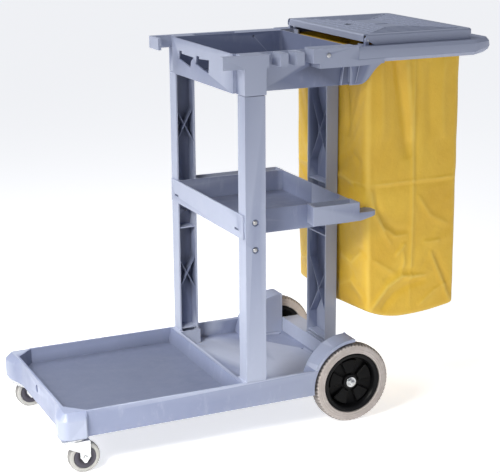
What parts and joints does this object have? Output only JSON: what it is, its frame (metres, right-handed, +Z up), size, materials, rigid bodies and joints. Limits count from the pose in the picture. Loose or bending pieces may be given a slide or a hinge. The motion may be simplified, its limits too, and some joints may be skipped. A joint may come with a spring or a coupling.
{
  "type": "housekeeping cart",
  "caption": "Moulded housekeeping cart with a front platform, shelf, top tray, lidded bag frame, vinyl bag, large rear wheels and swivel casters.",
  "frame": {"origin": "middle of the footprint, on the floor", "axes": "+X towards the push handle, +Y to the far side, +Z up"},
  "size_m": [1.158, 0.494, 0.964],
  "materials": {
    "cart_plastic": "satin moulded polypropylene, blue grey",
    "bag_vinyl": "soft yellow vinyl",
    "hub_plastic": "satin black",
    "tyre_rubber": "matte non-marking grey rubber",
    "caster_core": "satin",
    "zinc": "bright zinc plate",
    "steel": "plain steel"
  },
  "bodies": {
    "chassis": {"base_platform": "cart_plastic", "post_front_near": "cart_plastic", "post_front_far": "cart_plastic", "post_rear": "cart_plastic", "middle_shelf": "cart_plastic", "top_tray": "cart_plastic", "bag_frame": "cart_plastic", "vinyl_bag": "bag_vinyl", "rear_axle": "steel", "axle_washer_near": "zinc", "axle_nut_near": "zinc", "axle_spacer_near": "steel", "caster_plate_near": "zinc", "caster_race_near": "zinc", "caster_kingpin_near": "steel", "post_screw_near_1": "steel", "post_screw_near_2": "steel", "arm_screw_near": "steel", "lid_hinge_pin_near": "steel", "axle_washer_far": "zinc", "axle_nut_far": "zinc", "axle_spacer_far": "steel", "caster_plate_far": "zinc", "caster_race_far": "zinc", "caster_kingpin_far": "steel", "post_screw_far_1": "steel", "post_screw_far_2": "steel", "arm_screw_far": "steel", "lid_hinge_pin_far": "steel", "spine_screw_1": "steel", "spine_screw_2": "steel", "spine_screw_3": "steel", "spine_screw_4": "steel"},
    "rear_wheel_near": {"rear_tyre_near": "tyre_rubber", "rear_hub_near": "hub_plastic", "hub_bush_near": "steel"},
    "caster_swivel_near": {"caster_fork_near": "zinc", "caster_bolt_near": "zinc", "caster_nut_near": "zinc"},
    "caster_wheel_near": {"caster_core_near": "caster_core", "caster_tread_near": "tyre_rubber"},
    "rear_wheel_far": {"rear_tyre_far": "tyre_rubber", "rear_hub_far": "hub_plastic", "hub_bush_far": "steel"},
    "caster_swivel_far": {"caster_fork_far": "zinc", "caster_bolt_far": "zinc", "caster_nut_far": "zinc"},
    "caster_wheel_far": {"caster_core_far": "caster_core", "caster_tread_far": "tyre_rubber"},
    "lid": {"bag_lid": "cart_plastic"}
  },
  "joints": [
    {"name": "rear_wheel_spin_near", "type": "hinge", "parent": "chassis", "child": "rear_wheel_near", "pos_m": [0.1813, -0.2148, 0.1015], "axis": [0, 1, 0], "continuous": true},
    {"name": "caster_swivel_near", "type": "hinge", "parent": "chassis", "child": "caster_swivel_near", "pos_m": [-0.554, -0.223, 0.08], "axis": [0, 0, 1], "continuous": true},
    {"name": "caster_spin_near", "type": "hinge", "parent": "caster_swivel_near", "child": "caster_wheel_near", "pos_m": [-0.52, -0.223, 0.038], "axis": [0, 1, 0], "continuous": true},
    {"name": "rear_wheel_spin_far", "type": "hinge", "parent": "chassis", "child": "rear_wheel_far", "pos_m": [0.1813, 0.2148, 0.1015], "axis": [0, 1, 0], "continuous": true},
    {"name": "caster_swivel_far", "type": "hinge", "parent": "chassis", "child": "caster_swivel_far", "pos_m": [-0.554, 0.223, 0.08], "axis": [0, 0, 1], "continuous": true},
    {"name": "caster_spin_far", "type": "hinge", "parent": "caster_swivel_far", "child": "caster_wheel_far", "pos_m": [-0.52, 0.223, 0.038], "axis": [0, 1, 0], "continuous": true},
    {"name": "lid_hinge", "type": "hinge", "parent": "chassis", "child": "lid", "pos_m": [0.222, 0, 0.95], "axis": [0, -1, 0], "range_deg": [0, 100]}
  ]
}
